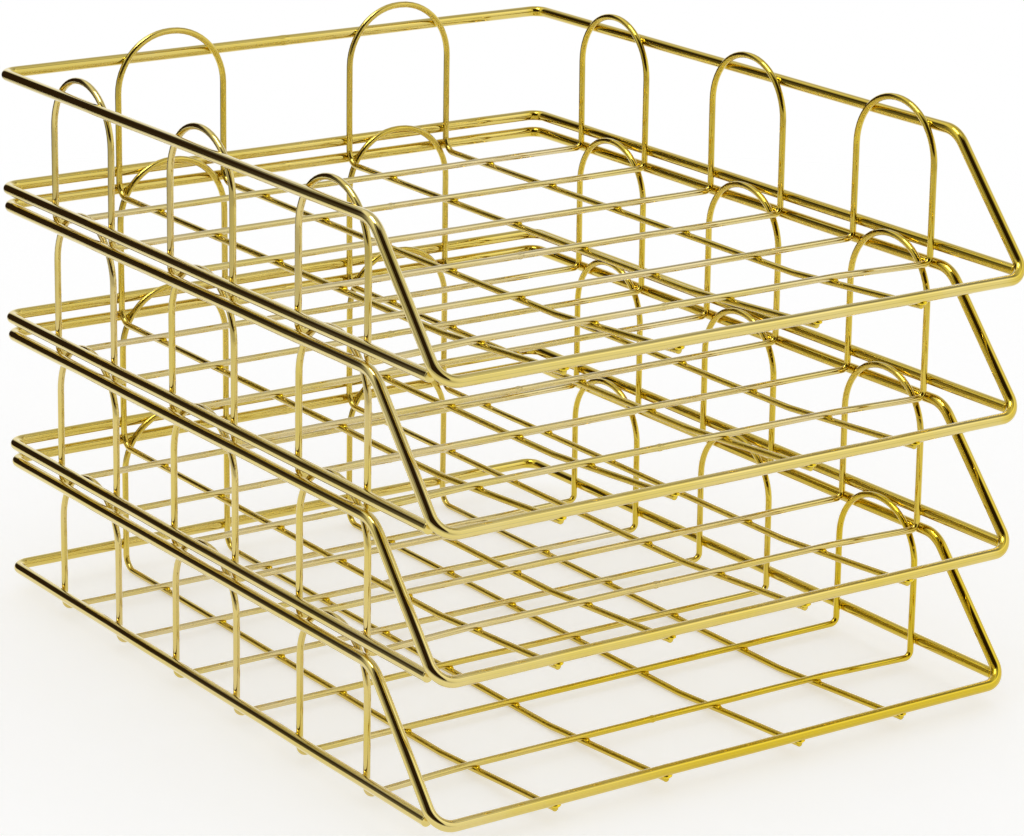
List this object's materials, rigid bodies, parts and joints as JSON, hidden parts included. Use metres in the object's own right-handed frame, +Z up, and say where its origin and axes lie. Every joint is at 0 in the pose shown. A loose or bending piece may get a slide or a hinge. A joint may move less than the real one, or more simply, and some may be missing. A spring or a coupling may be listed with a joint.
{
  "type": "stacking letter tray",
  "caption": "Open-front letter trays bent and welded from gold-plated wire, nested rim to floor as a desktop paper stack.",
  "frame": {"origin": "on the desk under the middle of the stack's footprint", "axes": "+Z up, +Y from the open front to the back wall, +X to the right seen from the front"},
  "size_m": [0.2542, 0.3082, 0.22],
  "materials": {
    "frame_wire": "polished plating",
    "grid_wire": "polished plating"
  },
  "bodies": {
    "tray_1": {"tray_1_rim": "frame_wire", "tray_1_base_rail": "frame_wire", "tray_1_front_loop": "grid_wire", "tray_1_middle_loop": "grid_wire", "tray_1_rear_loop": "grid_wire", "tray_1_left_hairpin": "grid_wire", "tray_1_right_hairpin": "grid_wire"},
    "tray_2": {"tray_2_rim": "frame_wire", "tray_2_base_rail": "frame_wire", "tray_2_front_loop": "grid_wire", "tray_2_middle_loop": "grid_wire", "tray_2_rear_loop": "grid_wire", "tray_2_left_hairpin": "grid_wire", "tray_2_right_hairpin": "grid_wire"},
    "tray_3": {"tray_3_rim": "frame_wire", "tray_3_base_rail": "frame_wire", "tray_3_front_loop": "grid_wire", "tray_3_middle_loop": "grid_wire", "tray_3_rear_loop": "grid_wire", "tray_3_left_hairpin": "grid_wire", "tray_3_right_hairpin": "grid_wire"},
    "tray_4": {"tray_4_rim": "frame_wire", "tray_4_base_rail": "frame_wire", "tray_4_front_loop": "grid_wire", "tray_4_middle_loop": "grid_wire", "tray_4_rear_loop": "grid_wire", "tray_4_left_hairpin": "grid_wire", "tray_4_right_hairpin": "grid_wire"}
  },
  "joints": [
    {"name": "tray_2_lift", "type": "slide", "parent": "tray_1", "child": "tray_2", "axis": [0, 0, 1], "range_m": [0, 0.12]},
    {"name": "tray_3_lift", "type": "slide", "parent": "tray_2", "child": "tray_3", "axis": [0, 0, 1], "range_m": [0, 0.12]},
    {"name": "tray_4_lift", "type": "slide", "parent": "tray_3", "child": "tray_4", "axis": [0, 0, 1], "range_m": [0, 0.12]}
  ]
}
